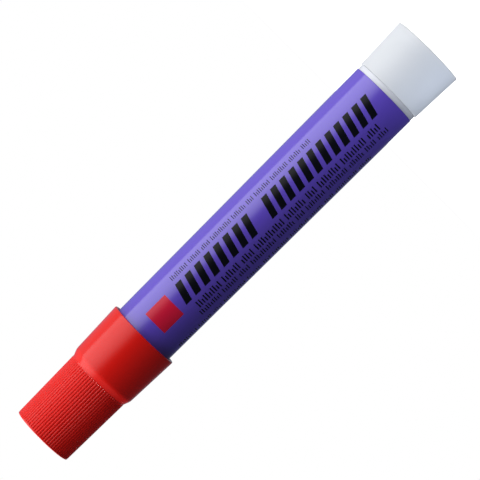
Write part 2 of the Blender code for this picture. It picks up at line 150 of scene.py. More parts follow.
@dataclass(frozen=True)
class Finish:
    """A surface: its two close colours, its gloss and its fine relief.

    CLOUD_DETAIL and GRAIN_DETAIL are how many finer layers the noises have, and
    DRAWN_SCALE draws a relief out along the axis.

    Attributes:
        name: Name of the material.
        colour: Main colour, linear.
        shade: The colour that it drifts to in soft clouds.
        roughness: Roughness of the smoothest and of the roughest spots.
        cloud: Size of the colour clouds.
        grain: Kind of relief.
        grain_size: Size of one grain.
        grain_depth: Height of the relief.
        glow: Share of the light that scatters inside.
        glow_depth: How far that light travels.
        ior: Index of refraction.
        specular: Specular level, lower where a fine texture dulls the gloss.
    """

    CLOUD_DETAIL = 4.0
    GRAIN_DETAIL = 2.0
    DRAWN_SCALE = (1.0, 1.0, 0.03)

    name: str
    colour: Colour
    shade: Colour
    roughness: tuple[float, float]
    cloud: float = 0.012
    grain: Grain = Grain.MOULDED
    grain_size: float = 0.00025
    grain_depth: float = 0.000002
    glow: float = 0.0
    glow_depth: float = 0.001
    ior: float = 1.48
    specular: float = 0.5

    def material(self) -> bpy.types.Material:
        """Make the material, or return the one already made under this name.

        Returns:
            The procedural material.
        """
        made = bpy.data.materials.get(self.name)
        if made is not None:
            return made
        graph = NodeGraph(self.name)
        place = graph.add("ShaderNodeTexCoord").outputs["Object"]
        self._colour(graph, place)
        height = self._relief(graph, place)
        self._gloss(graph, height)
        return graph.material

    def _colour(self, graph: NodeGraph, place: bpy.types.NodeSocket) -> None:
        """Mix the two colours in soft clouds.

        Args:
            graph: The material's nodes.
            place: Object coordinates.
        """
        clouds = graph.add(
            "ShaderNodeTexNoise", Scale=1 / self.cloud, Detail=self.CLOUD_DETAIL
        )
        graph.link(place, clouds.inputs["Vector"])
        mix = graph.add("ShaderNodeMix", data_type="RGBA")
        mix.inputs[MixSocket.FIRST].default_value = (*self.colour, 1.0)
        mix.inputs[MixSocket.SECOND].default_value = (*self.shade, 1.0)
        graph.link(clouds.outputs["Fac"], mix.inputs[MixSocket.FACTOR])
        mixed = mix.outputs[MixSocket.RESULT]
        graph.link(mixed, graph.shader.inputs["Base Color"])

    def _relief(
        self, graph: NodeGraph, place: bpy.types.NodeSocket
    ) -> bpy.types.NodeSocket:
        """Make the fine relief and bump the surface with it.

        Args:
            graph: The material's nodes.
            place: Object coordinates.

        Returns:
            The relief's height, from 0 to 1.
        """
        stretch = graph.add("ShaderNodeMapping")
        if self.grain is Grain.DRAWN:
            stretch.inputs["Scale"].default_value = self.DRAWN_SCALE
        graph.link(place, stretch.inputs["Vector"])
        if self.grain is Grain.CELLS:
            grain = graph.add("ShaderNodeTexVoronoi", Scale=1 / self.grain_size)
            height = grain.outputs["Distance"]
        else:
            grain = graph.add(
                "ShaderNodeTexNoise",
                Scale=1 / self.grain_size,
                Detail=self.GRAIN_DETAIL,
            )
            height = grain.outputs["Fac"]
        graph.link(stretch.outputs["Vector"], grain.inputs["Vector"])
        bump = graph.add("ShaderNodeBump", Strength=1.0, Distance=self.grain_depth)
        graph.link(height, bump.inputs["Height"])
        graph.link(bump.outputs["Normal"], graph.shader.inputs["Normal"])
        return height

    def _gloss(self, graph: NodeGraph, height: bpy.types.NodeSocket) -> None:
        """Set the gloss, and let the relief vary the roughness.

        Args:
            graph: The material's nodes.
            height: The relief's height.
        """
        smooth, rough = self.roughness
        spread = graph.add("ShaderNodeMapRange", To_Min=smooth, To_Max=rough)
        graph.link(height, spread.inputs["Value"])
        graph.link(spread.outputs["Result"], graph.shader.inputs["Roughness"])
        graph.set("IOR", self.ior)
        graph.set("Specular IOR Level", self.specular)
        graph.set("Subsurface Weight", self.glow)
        graph.set("Subsurface Radius", (1.0, 1.0, 1.0))
        graph.set("Subsurface Scale", self.glow_depth)


RED_CAP = Finish(
    name="red_cap_plastic",
    colour=(0.73, 0.010, 0.006),
    shade=(0.695, 0.008, 0.005),
    roughness=(0.13, 0.19),
    grain_depth=0.000001,
)
RED_GRIP = replace(
    RED_CAP, name="red_grip_plastic", roughness=(0.27, 0.35), specular=0.33
)
VIOLET_FILM = Finish(
    name="violet_film",
    colour=(0.118, 0.068, 0.555),
    shade=(0.110, 0.062, 0.525),
    roughness=(0.11, 0.17),
    grain=Grain.DRAWN,
    grain_depth=0.000001,
    ior=1.82,
)
BLACK_INK = Finish(
    name="black_ink",
    colour=(0.002, 0.0025, 0.005),
    shade=(0.004, 0.0045, 0.008),
    roughness=(0.12, 0.2),
    cloud=0.002,
    ior=1.34,
)
RED_INK = Finish(
    name="red_ink",
    colour=(0.64, 0.01, 0.045),
    shade=(0.57, 0.008, 0.038),
    roughness=(0.14, 0.22),
    cloud=0.003,
)
WHITE_BARREL = Finish(
    name="white_barrel_plastic",
    colour=(0.755, 0.775, 0.84),
    shade=(0.725, 0.745, 0.81),
    roughness=(0.16, 0.24),
    glow=0.3,
    glow_depth=0.002,
    ior=1.5,
)
WHITE_KNOB = Finish(
    name="white_knob_plastic",
    colour=(0.655, 0.68, 0.718),
    shade=(0.625, 0.65, 0.688),
    roughness=(0.42, 0.52),
    glow=0.6,
    glow_depth=0.005,
)
WHITE_INNER = Finish(
    name="white_inner_plastic",
    colour=(0.74, 0.75, 0.77),
    shade=(0.70, 0.71, 0.73),
    roughness=(0.4, 0.5),
)
RED_PAINT = Finish(
    name="red_solid_paint",
    colour=(0.82, 0.021, 0.040),
    shade=(0.75, 0.016, 0.031),
    roughness=(0.26, 0.4),
    cloud=0.004,
    grain_size=0.0008,
    grain_depth=0.00001,
    glow=0.35,
    glow_depth=0.0015,
)
BLACK_RUBBER = Finish(
    name="black_seal_rubber",
    colour=(0.018, 0.018, 0.02),
    shade=(0.028, 0.028, 0.03),
    roughness=(0.5, 0.7),
    cloud=0.003,
)
WHITE_FOAM = Finish(
    name="white_liner_foam",
    colour=(0.80, 0.80, 0.78),
    shade=(0.72, 0.72, 0.70),
    roughness=(0.75, 0.95),
    grain=Grain.CELLS,
    grain_size=0.0003,
    grain_depth=0.00005,
)


# Turned pieces


@dataclass(frozen=True)
class Corner:
    """A corner of a turned piece's outline.

    Attributes:
        radius: Distance from the axis.
        height: Height above the tail face.
        edge: Radius of the rounding on the corner.
        cut: How strongly the piece's own pattern moves the ring at this corner.
    """

    radius: float
    height: float
    edge: float = 0.0
    cut: float = 0.0

    @property
    def at(self) -> Vector:
        """The corner as a point of the outline."""
        return Vector((self.radius, self.height))


class Outline:
    """The outline of a turned piece, with its corners rounded."""

    ARC_STEPS = 5
    GUARD_SHARE = 0.35
    EDGE_SHARE = 0.46

    def __init__(self, corners: Sequence[Corner]) -> None:
        """Keep the corners in order.

        Args:
            corners: The corners, from the axis to the axis, or all round a ring.
        """
        self.corners = list(corners)

    def points(self) -> list[Corner]:
        """Round the corners.

        Returns:
            The points of the outline in order.
        """
        count = len(self.corners)
        result: list[Corner] = []
        for index, corner in enumerate(self.corners):
            before = self.corners[index - 1]
            after = self.corners[(index + 1) % count]
            result += self._rounded(before, corner, after)
        return result

    def _rounded(self, before: Corner, corner: Corner, after: Corner) -> list[Corner]:
        """Replace one corner by an arc with a guard point on each side.

        Args:
            before: The corner before it.
            corner: The corner.
            after: The corner after it.

        Returns:
            The points that take the corner's place.
        """
        if corner.edge <= 0.0:
            return [corner]
        back = before.at - corner.at
        ahead = after.at - corner.at
        turn = math.pi - back.angle(ahead)
        room = self.EDGE_SHARE * min(back.length, ahead.length)
        reach = min(corner.edge * math.tan(turn / 2), room)
        guard = min(reach * (1 + self.GUARD_SHARE), (room + reach) / 2)
        back.normalize()
        ahead.normalize()
        start = corner.at + back * reach
        end = corner.at + ahead * reach
        path = [corner.at + back * guard]
        for step in range(self.ARC_STEPS + 1):
            share = step / self.ARC_STEPS
            first = start.lerp(corner.at, share)
            second = corner.at.lerp(end, share)
            path.append(first.lerp(second, share))
        path.append(corner.at + ahead * guard)
        return [Corner(point.x, point.y, 0.0, corner.cut) for point in path]


def even_angles(steps: int) -> list[float]:
    """Angles of even steps round the axis."""
    return [math.tau * step / steps for step in range(steps)]


def plain_ring(_angle: float) -> float:
    """The pattern of a piece that is round all over."""
    return 0.0


class Lathe:
    """Turns outlines into closed meshes."""

    @staticmethod
    def turn(
        name: str,
        corners: Sequence[Corner],
        angles: Sequence[float],
        pattern: Callable[[float], float] = plain_ring,
    ) -> bpy.types.Object:
        """Turn an outline about the axis.

        Args:
            name: Name of the piece.
            corners: Its outline.
            angles: Where the rings have their points.
            pattern: How far a ring moves out at an angle, for a cut of one.

        Returns:
            The piece, linked to the scene.
        """
        points = Outline(corners).points()
        shape = bmesh.new()
        shifts = [pattern(angle) for angle in angles]
        rings: list[list[bmesh.types.BMVert]] = []
        for point in points:
            if point.radius == 0.0:
                rings.append([shape.verts.new((0.0, 0.0, point.height))])
                continue
            ring = []
            for angle, shift in zip(angles, shifts):
                radius = point.radius + point.cut * shift
                across, along = radius * math.cos(angle), radius * math.sin(angle)
                ring.append(shape.verts.new((across, along, point.height)))
            rings.append(ring)
        pairs = list(zip(rings, rings[1:]))
        if points[0].radius > 0.0:
            pairs.append((rings[-1], rings[0]))
        for low, high in pairs:
            Lathe._band(shape, low, high, len(angles))
        return Lathe.settle(name, shape)

    @staticmethod
    def _band(
        shape: bmesh.types.BMesh,
        low: list[bmesh.types.BMVert],
        high: list[bmesh.types.BMVert],
        steps: int,
    ) -> None:
        """Join two rings, either of which may be a point on the axis.

        Args:
            shape: The mesh being made.
            low: One ring.
            high: The next ring.
            steps: Steps round the axis.
        """
        for step in range(steps):
            following = (step + 1) % steps
            face = []
            for ring, order in ((low, (step, following)), (high, (following, step))):
                if len(ring) == 1:
                    face.append(ring[0])
                else:
                    face += [ring[order[0]], ring[order[1]]]
            shape.faces.new(face)

    @staticmethod
    def settle(name: str, shape: bmesh.types.BMesh) -> bpy.types.Object:
        """Weld and orient a mesh, smooth it, and link it to the scene.

        Args:
            name: Name of the piece.
            shape: The mesh, which is freed.

        Returns:
            The piece.
        """
        bmesh.ops.remove_doubles(shape, verts=shape.verts, dist=WELD_DISTANCE)
        bmesh.ops.recalc_face_normals(shape, faces=shape.faces)
        mesh = bpy.data.meshes.new(name)
        shape.to_mesh(mesh)
        shape.free()
        mesh.shade_smooth()
        mesh.set_sharp_from_angle(angle=SMOOTH_ANGLE)
        piece = bpy.data.objects.new(name, mesh)
        bpy.context.scene.collection.objects.link(piece)
        return piece


class Assembly:
    """A group of pieces that moves with one CAD body."""

    body: Body

    def dress(
        self, piece: bpy.types.Object, finish: Finish, slot: Slot, node: str = ""
    ) -> None:
        """Give a new piece its finish and body, and hide the CAD node that it
        replaces.

        Args:
            piece: The piece.
            finish: Its surface.
            slot: The record's slot that the surface belongs to; not used.
            node: The CAD node that it stands for, if any.
        """
        piece.data.materials.clear()
        piece.data.materials.append(finish.material())
        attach(piece, self.body.value)
        if node:
            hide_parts(node)
        LOG.info(
            "%s: %d faces on %s", piece.name, len(piece.data.polygons), self.body.value
        )

    def refinish(self, node: str, finish: Finish) -> None:
        """Give a CAD node that stays its finish.

        Args:
            node: Name of the node.
            finish: Its surface.
        """
        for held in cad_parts[node].material_slots:
            held.material = finish.material()
        LOG.info("%s: kept from the CAD model on %s", node, self.body.value)


@dataclass
class Barrel(Assembly):
    """The drafted tube with its printed film, and the bush inside its rear end."""

    body = Body.BARREL
    rear: float = 0.0139
    front: float = 0.1122
    rear_radius: float = 0.0092
    front_radius: float = 0.00856
    bore_radius: float = 0.0069
    counterbore_radius: float = 0.00775
    counterbore_top: float = 0.02105
    groove_depth: float = 0.00025
    groove_middle: float = 0.0174
    groove_half: float = 0.00075
    keyway_depth: float = 0.0007
    keyway_half_width: float = 0.0013
    keyway_front: float = 0.1017
    film_rear: float = 0.0153
    film_front: float = 0.1026
    film_recess: float = 0.0004
    film_thickness: float = 0.00036
    film_gap: float = 0.00002
    film_edge: float = 0.00004
    band_drop: float = 0.0001
    band_end: float = 0.01388
    band_edge: float = 0.00006
    mouth_edge: float = 0.0004
    small_edge: float = 0.00008
    steps: int = 240

    def radius(self, height: float) -> float:
        """Outer radius of the taper at a height."""
        share = (height - self.rear) / (self.front - self.rear)
        return self.rear_radius + (self.front_radius - self.rear_radius) * share

    def keyways(self, angle: float) -> float:
        """Pattern of the two keyways, at +X and -X."""
        side = (self.bore_radius + self.keyway_depth) * abs(math.sin(angle))
        return 1.0 if side < self.keyway_half_width else 0.0

    def build(self) -> None:
        """Build the tube and the film, and finish the bush."""
        angles = even_angles(self.steps)
        tube = Lathe.turn("barrel_tube", self._tube(), angles, self.keyways)
        self.dress(tube, WHITE_BARREL, Slot.BARREL, "barrel")
        film = Lathe.turn("barrel_film", self._film(), angles)
        self.dress(film, VIOLET_FILM, Slot.PRINT, "label_film")
        self.refinish("rear_bush", WHITE_INNER)

    def _tube(self) -> list[Corner]:
        """Outline of the tube.

        Returns:
            Its corners, down the outside and up the bore.
        """
        recess_front = self.radius(self.film_front) - self.film_recess
        recess_rear = self.radius(self.film_rear) - self.film_recess
        band_front = self.radius(self.film_rear) - self.band_drop
        band_rear = self.rear_radius - self.band_drop
        groove_top = self.groove_middle + self.groove_half
        groove_bottom = self.groove_middle - self.groove_half
        groove_radius = self.counterbore_radius + self.groove_depth
        return [
            Corner(self.front_radius, self.front, self.mouth_edge),
            Corner(self.radius(self.film_front), self.film_front, self.small_edge),
            Corner(recess_front, self.film_front),
            Corner(recess_rear, self.film_rear),
            Corner(band_front, self.film_rear, self.small_edge),
            Corner(band_rear, self.band_end, self.band_edge),
            Corner(self.counterbore_radius, self.band_end, self.small_edge),
            Corner(self.counterbore_radius, groove_bottom),
            Corner(groove_radius, self.groove_middle),
            Corner(self.counterbore_radius, groove_top),
            Corner(self.counterbore_radius, self.counterbore_top),
            Corner(self.bore_radius, self.counterbore_top, 0.0, self.keyway_depth),
            Corner(self.bore_radius, self.keyway_front, 0.0, self.keyway_depth),
            Corner(self.bore_radius, self.keyway_front),
            Corner(self.bore_radius, self.front, self.small_edge),
        ]

    def _film(self) -> list[Corner]:
        """Outline of the film.

        Returns:
            Its four corners.
        """
        rear = self.film_rear + self.film_gap
        front = self.film_front - self.film_gap
        return [
            Corner(self.radius(front), front, self.film_edge),
            Corner(self.radius(rear), rear, self.film_edge),
            Corner(self.radius(rear) - self.film_thickness, rear),
            Corner(self.radius(front) - self.film_thickness, front),
        ]


@dataclass
class TailDrive(Assembly):
    """The tail knob, and the screw and seal that turn with it."""

    body = Body.KNOB
    length: float = 0.01384
    seam_radius: float = 0.0094
    end_radius: float = 0.00995
    end_edge: float = 0.0002
    seam_edge: float = 0.00006
    small_edge: float = 0.0001
    rim_width: float = 0.0028
    dish_depth: float = 0.0004
    wall: float = 0.0018
    floor: float = 0.0026
    hub_radius: float = 0.00424
    socket_half: float = 0.00215
    socket_bottom: float = 0.0056
    steps: int = 240

    def socket(self, angle: float) -> float:
        """Pattern that makes a ring square."""
        return 1 / max(abs(math.cos(angle)), abs(math.sin(angle))) - 1

    def build(self) -> None:
        """Build the knob, and finish the screw and the seal."""
        angles = even_angles(self.steps)
        knob = Lathe.turn("tail_knob", self._knob(), angles, self.socket)
        self.dress(knob, WHITE_KNOB, Slot.KNOB, "twist_knob")
        self.refinish("lead_screw", WHITE_INNER)
        self.refinish("spindle_seal", BLACK_RUBBER)

    def _knob(self) -> list[Corner]:
        """Outline of the knob.

        Returns:
            Its corners, from the socket's floor round the outside to the dish.
        """
        half = self.socket_half
        pocket = self.seam_radius - self.wall
        dish = self.end_radius - self.rim_width
        return [
            Corner(0.0, self.socket_bottom),
            Corner(half, self.socket_bottom, 0.0, half),
            Corner(half, self.length, 0.0, half),
            Corner(self.hub_radius, self.length, self.small_edge),
            Corner(self.hub_radius, self.floor),
            Corner(pocket, self.floor),
            Corner(pocket, self.length, self.small_edge),
            Corner(self.seam_radius, self.length, self.seam_edge),
            Corner(self.end_radius, 0.0, self.end_edge),
            Corner(dish, 0.0, self.small_edge),
            Corner(dish - self.dish_depth, self.dish_depth, self.small_edge),
            Corner(0.0, self.dish_depth),
        ]


@dataclass
class PaintFeed(Assembly):
    """The stick of solid paint and the carrier that lifts it."""

    body = Body.PAINT
    radius: float = 0.0066
    point_base: float = 0.1122
    point_height: float = 0.0133
    point_power: float = 2.15
    tip_rounding: float = 0.0006
    shoulder: float = 0.05445
    foot_radius: float = 0.00535
    foot_bottom: float = 0.04645
    hole_radius: float = 0.0034
    hole_top: float = 0.1065
    point_steps: int = 36
    steps: int = 160

    def build(self) -> None:
        """Build the stick, and finish the carrier."""
        stick = Lathe.turn("paint_stick_body", self._stick(), even_angles(self.steps))
        self.dress(stick, RED_PAINT, Slot.PAINT, "paint_stick")
        self.refinish("stick_carrier", WHITE_INNER)

    def _reach(self, depth: float) -> float:
        """Depth below the tip, changed near it so that the tip comes out round."""
        return math.sqrt(depth * (depth + 2 * self.tip_rounding))

    def point_radius(self, depth: float) -> float:
        """Radius of the point at one depth: an ogive with its tip rounded off.

        Args:
            depth: Distance below the tip, along the axis.

        Returns:
            The radius there.
        """
        share = self._reach(depth) / self._reach(self.point_height)
        return self.radius * (1 - (1 - share) ** self.point_power)

    def _stick(self) -> list[Corner]:
        """Outline of the stick.

        Returns:
            Its corners, from the tip down the outside and up the screw's hole.
        """
        tip = self.point_base + self.point_height
        outline = [Corner(0.0, tip)]
        for step in range(1, self.point_steps + 1):
            turn = math.pi / 2 * step / self.point_steps
            depth = self.point_height * (1 - math.cos(turn))
            outline.append(Corner(self.point_radius(depth), tip - depth))
        outline += [
            Corner(self.radius, self.shoulder),
            Corner(self.foot_radius, self.shoulder),
            Corner(self.foot_radius, self.foot_bottom),
            Corner(self.hole_radius, self.foot_bottom),
            Corner(self.hole_radius, self.hole_top),
            Corner(0.0, self.hole_top),
        ]
        return outline


@dataclass
class Cap(Assembly):
    """The ribbed cap with its flared mouth, and the soft ring inside it."""

    body = Body.CAP
    mouth: float = 0.0989
    mouth_radius: float = 0.009897
    mouth_inner_radius: float = 0.008997
    rim_edge: float = 0.0003
    lead_in: float = 0.00025
    shoulder: float = 0.1131
    shoulder_radius: float = 0.00935
    shoulder_edge: float = 0.003
    grip_root: float = 0.1148
    grip_root_radius: float = 0.0087
    grip_root_edge: float = 0.0008
    grip_end_radius: float = 0.00835
    end: float = 0.1345
    end_edge: float = 0.0006
    rib_count: int = 70
    rib_depth: float = 0.000135
    rib_crown: float = 0.18
    rib_crest: float = 0.45
    rib_foot: float = 0.92
    rib_start: float = 0.00025
    rib_ramp: float = 0.00010
    rib_guard: float = 0.00005
    rib_end_margin: float = 0.0001
    bore_end: float = 0.1329
    bore_end_radius: float = 0.0070
    bore_root_radius: float = 0.0073
    inner_shoulder: float = 0.11365
    liner_pocket_radius: float = 0.00836
    liner_bottom: float = 0.1125
    neck_radius: float = 0.00873
    neck_edge_height: float = 0.1118

    @property
    def rib_top(self) -> float:
        """Height at which the ribs run out next to the end."""
        return self.end - self.rib_end_margin - self.end_edge / 2

    @property
    def rib_bottom(self) -> float:
        """Height at which the ribs run out next to the cone."""
        return self.grip_root + self.rib_start

    def ribs(self, angle: float) -> float:
        """Pattern of the grooves between the slightly crowned ribs."""
        across = abs((self.rib_count * angle / math.pi + 1) % 2 - 1)
        if across < self.rib_crest:
            return self.rib_crown * (1 - across / self.rib_crest)
        fall = (across - self.rib_crest) / (self.rib_foot - self.rib_crest)
        return -min(fall, 1.0)

    def rib_angles(self) -> list[float]:
        """Angles of the crests, edges and feet of the ribs."""
        shares = (-self.rib_foot, -self.rib_crest, 0.0, self.rib_crest, self.rib_foot)
        half = math.pi / self.rib_count
        ribs = range(self.rib_count)
        return [(2 * rib + share) * half for rib in ribs for share in shares]

    def build(self) -> None:
        """Build the shell, and finish the liner."""
        angles = self.rib_angles()
        shell = Lathe.turn("cap_body_shell", self._shell(), angles, self.ribs)
        self.dress(shell, RED_CAP, Slot.CAP, "cap_shell")
        self._dull_ribs(shell)
        self.refinish("cap_liner", WHITE_FOAM)

    def _dull_ribs(self, shell: bpy.types.Object) -> None:
        """Give the ribs the duller finish of a textured mould.

        Args:
            shell: The shell's object.
        """
        shell.data.materials.append(RED_GRIP.material())
        ribbed = len(shell.data.materials) - 1
        inside = self.grip_end_radius - 2 * self.rib_depth
        low, high = self.rib_bottom + self.rib_ramp, self.rib_top
        for face in shell.data.polygons:
            if face.center.xy.length > inside and low < face.center.z < high:
                face.material_index = ribbed

    def grip_radius(self, height: float) -> float:
        """Outer radius of the grip's taper at a height."""
        share = (height - self.grip_root) / (self.end - self.grip_root)
        taper = self.grip_end_radius - self.grip_root_radius
        return self.grip_root_radius + taper * share

    def _shell(self) -> list[Corner]:
        """Outline of the shell.

        Returns:
            Its corners, from the end down the outside and up the cavity.
        """
        outline = [
            Corner(0.0, self.end),
            Corner(self.grip_end_radius, self.end, self.end_edge),
            Corner(self.grip_radius(self.rib_top), self.rib_top),
        ]
        top = self.rib_top - self.rib_ramp
        bottom = self.rib_bottom + self.rib_ramp
        for height in (top, top - self.rib_guard, bottom + self.rib_guard, bottom):
            radius = self.grip_radius(height)
            outline.append(Corner(radius, height, 0.0, self.rib_depth))
        lead_radius = self.mouth_inner_radius + self.lead_in
        lead_top = self.mouth + self.lead_in
        lead_edge = self.lead_in / 2
        outline += [
            Corner(self.grip_radius(self.rib_bottom), self.rib_bottom),
            Corner(self.grip_root_radius, self.grip_root, self.grip_root_edge),
            Corner(self.shoulder_radius, self.shoulder, self.shoulder_edge),
            Corner(self.mouth_radius, self.mouth, self.rim_edge),
            Corner(lead_radius, self.mouth, lead_edge),
            Corner(self.mouth_inner_radius, lead_top, lead_edge),
            Corner(self.neck_radius, self.neck_edge_height),
            Corner(self.liner_pocket_radius, self.liner_bottom),
            Corner(self.liner_pocket_radius, self.inner_shoulder),
            Corner(self.bore_root_radius, self.inner_shoulder),
            Corner(self.bore_end_radius, self.bore_end, self.end_edge),
            Corner(0.0, self.bore_end),
        ]
        return outline


# Print on the film


@dataclass(frozen=True)
class TickRow:
    """A row of fine ticks in groups.

    Attributes:
        middle: Angle of the row's middle from the front, in degrees.
        tall: Angle that a tick covers, in degrees.
        start: Height of the first tick.
        end: Height that the row stops at.
        pitch: Distance between ticks.
        width: Width of a tick along the axis.
    """

    middle: float
    tall: float
    start: float
    end: float
    pitch: float
    width: float


@dataclass
class PrintedMarks(Assembly):
    """Generic marks on the film: a colour patch, a band of bars and rows of ticks.

    Angles are from the front of the marker, positive towards +X, and marks run on from
    the cap to the tail. Each entry of bars is a run of them: its two heights and how
    many there are.
    """

    barrel: Barrel
    body = Body.BARREL
    ink_height: float = 0.000012
    ink_root: float = 0.00006
    row_step: float = math.radians(2.0)
    patch_top: float = 0.0947
    patch_bottom: float = 0.0880
    patch_from: float = math.radians(-22.4)
    patch_to: float = math.radians(22.4)
    bars: tuple[tuple[float, float, int], ...] = (
        (0.0860, 0.0598, 8),
        (0.0563, 0.0187, 12),
    )
    bars_from: float = math.radians(-14.5)
    bars_to: float = math.radians(22.0)
    bar_share: float = 0.6
    bar_slant: float = 0.0015
    rows: tuple[TickRow, ...] = (
        TickRow(34.4, 9.0, 0.0843, 0.0357, 0.00056, 0.00020),
        TickRow(-28.7, 13.0, 0.0841, 0.0214, 0.00080, 0.00036),
        TickRow(-44.6, 11.0, 0.0850, 0.0204, 0.00070, 0.00028),
        TickRow(-69.0, 12.0, 0.0945, 0.0284, 0.00062, 0.00024),
    )
    groups: tuple[int, ...] = (10, 7, 5, 12, 8, 4, 9)
    short_every: int = 3
    short_share: float = 0.7

    def spot(self, angle: float, height: float, rise: float) -> Point:
        """A point over the film.

        Args:
            angle: Angle from the front.
            height: Height above the tail face.
            rise: Distance out from the film.

        Returns:
            The point.
        """
        radius = self.barrel.radius(height) + rise
        return (radius * math.sin(angle), -radius * math.cos(angle), height)

    def mark(
        self,
        shape: bmesh.types.BMesh,
        angles: tuple[float, float],
        start: tuple[float, float],
        end: tuple[float, float],
    ) -> None:
        """Add one closed mark that follows the film.

        Args:
            shape: The mesh being made.
            angles: Lower and upper angle.
            start: Heights of the end next to the cap, at the lower and upper angle.
            end: Heights of the end next to the tail, at the lower and upper angle.
        """
        count = max(1, math.ceil((angles[1] - angles[0]) / self.row_step))
        rows = []
        for step in range(count + 1):
            share = step / count
            angle = angles[0] + (angles[1] - angles[0]) * share
            near = start[0] + (start[1] - start[0]) * share
            far = end[0] + (end[1] - end[0]) * share
            spots = [
                self.spot(angle, near, self.ink_height),
                self.spot(angle, far, self.ink_height),
                self.spot(angle, far, -self.ink_root),
                self.spot(angle, near, -self.ink_root),
            ]
            rows.append([shape.verts.new(spot) for spot in spots])
        for low, high in zip(rows, rows[1:]):
            for corner in range(len(low)):
                following = (corner + 1) % len(low)
                shape.faces.new(
                    (low[corner], low[following], high[following], high[corner])
                )
        shape.faces.new(rows[0])
        shape.faces.new(rows[-1])

    def build(self) -> None:
        """Build every group of marks."""
        self._patch()
        self._bars()
        self._ticks()

    def _patch(self) -> None:
        """The square that shows the paint's colour."""
        shape = bmesh.new()
        top = (self.patch_top, self.patch_top)
        bottom = (self.patch_bottom, self.patch_bottom)
        self.mark(shape, (self.patch_from, self.patch_to), top, bottom)
        self.dress(Lathe.settle("print_patch", shape), RED_INK, Slot.PRINT)

    def _bars(self) -> None:
        """The band of slanted bars."""
        shape = bmesh.new()
        for top, bottom, count in self.bars:
            pitch = (top - bottom - self.bar_slant) / (count - 1 + self.bar_share)
            width = pitch * self.bar_share
            for index in range(count):
                near = top - pitch * index
                start = (near, near - self.bar_slant)
                end = (near - width, near - width - self.bar_slant)
                self.mark(shape, (self.bars_from, self.bars_to), start, end)
        self.dress(Lathe.settle("print_bars", shape), BLACK_INK, Slot.PRINT)

    def _ticks(self) -> None:
        """The rows of fine ticks."""
        shape = bmesh.new()
        for row in self.rows:
            foot = math.radians(row.middle - row.tall / 2)
            full = math.radians(row.tall)
            height = row.start
            count = 0
            for group in itertools.cycle(self.groups):
                for _ in range(group):
                    count += 1
                    short = count % self.short_every == 0
                    angles = (foot, foot + full * (self.short_share if short else 1.0))
                    far = height - row.width
                    if far > row.end:
                        self.mark(shape, angles, (height, height), (far, far))
                    height -= row.pitch
                height -= row.pitch
                if height < row.end:
                    break
        self.dress(Lathe.settle("print_ticks", shape), BLACK_INK, Slot.PRINT)


# Studio


@dataclass(frozen=True)
class Viewpoint:
    """The camera, level with the lower barrel and rolled so that the cap hangs left.

    Attributes:
        distance: How far it stands in front of the axis.
        height: Its height above the tail face.
        aim_height: Height of the point that it faces.
        aim_aside: That point's distance from the axis along X.
        lens: Focal length in millimetres.
        sensor: Width of the picture behind the lens in millimetres.
        roll: How far it is rolled.
        near_limit: Distance from which it sees things.
    """

    distance: float = 0.716
    height: float = 0.0509
    aim_height: float = 0.0657
    aim_aside: float = -0.00022
    lens: float = 217.57
    sensor: float = 36.0
    roll: float = math.radians(44.97)
    near_limit: float = 0.01

    def build(self) -> None:
        """Make the camera and use it."""
        data = bpy.data.cameras.new("camera")
        data.lens = self.lens
        data.sensor_width = self.sensor
        data.clip_start = self.near_limit
        camera = bpy.data.objects.new("camera", data)
        bpy.context.scene.collection.objects.link(camera)
        place = Vector((0.0, -self.distance, self.height))
        aim = Vector((self.aim_aside, 0.0, self.aim_height))
        backwards = (place - aim).normalized()
        upright = Vector((math.cos(self.roll), 0.0, -math.sin(self.roll)))
        right = upright.cross(backwards).normalized()
        up = backwards.cross(right)
        turn = Matrix((right, up, backwards)).transposed().to_4x4()
        camera.matrix_world = Matrix.Translation(place) @ turn
        bpy.context.scene.camera = camera


@dataclass(frozen=True)
class Lamp:
    """A round soft lamp that the camera does not see.

    Attributes:
        name: Name of the lamp.
        place: Where it hangs.
        aim: The point that it faces.
        size: Its width.
        power: Its power in watts.
        light: Its colour.
        mirrored: Whether glossy surfaces show it.
        only: The pieces that it lights, where it is shielded from the others.
    """

    name: str
    place: Point
    aim: Point
    size: float
    power: float
    light: Light = Light.KEY
    mirrored: bool = False
    only: tuple[str, ...] = ()

    def build(self) -> None:
        """Hang the lamp."""
        data = bpy.data.lights.new(self.name, "AREA")
        data.shape = "DISK"
        data.size = self.size
        data.energy = self.power
        data.color = self.light.value
        lamp = bpy.data.objects.new(self.name, data)
        lamp.location = self.place
        way = Vector(self.aim) - Vector(self.place)
        lamp.rotation_euler = way.to_track_quat("-Z", "Y").to_euler()
        lamp.visible_camera = False
        lamp.visible_glossy = self.mirrored
        bpy.context.scene.collection.objects.link(lamp)
        if self.only:
            lit = bpy.data.collections.new(f"{self.name}_lit")
            for piece in self.only:
                lit.objects.link(bpy.data.objects[piece])
            lamp.light_linking.receiver_collection = lit


END_LAMP = Lamp(
    name="end_lamp",
    place=(0.0, 0.0, 0.60),
    aim=(0.0, 0.0, 0.12),
    size=0.2,
    power=1.7,
    mirrored=True,
)
CAP_LAMP = Lamp(
    name="cap_lamp",
    place=(0.006, -0.0325, 0.126),
    aim=(0.0, 0.0, 0.128),
    size=0.02,
    power=0.00075,
)
TAIL_LAMP = Lamp(
    name="tail_lamp",
    place=(-0.034, -0.043, 0.009),
    aim=(0.0, 0.0, 0.007),
    size=0.04,
    power=0.0084,
    light=Light.PALE,
    only=("tail_knob",),
)
SEAM_LAMP = Lamp(
    name="seam_lamp",
    place=(-0.0180, -0.0120, 0.005),
    aim=(0.0, 0.0, 0.012),
    size=0.018,
    power=0.00068,
    light=Light.PALE,
)
BACK_LAMP = Lamp(
    name="back_lamp",
    place=(-0.14, 0.47, 0.30),
    aim=(0.0, 0.0, 0.07),
    size=0.45,
    power=1.8,
)
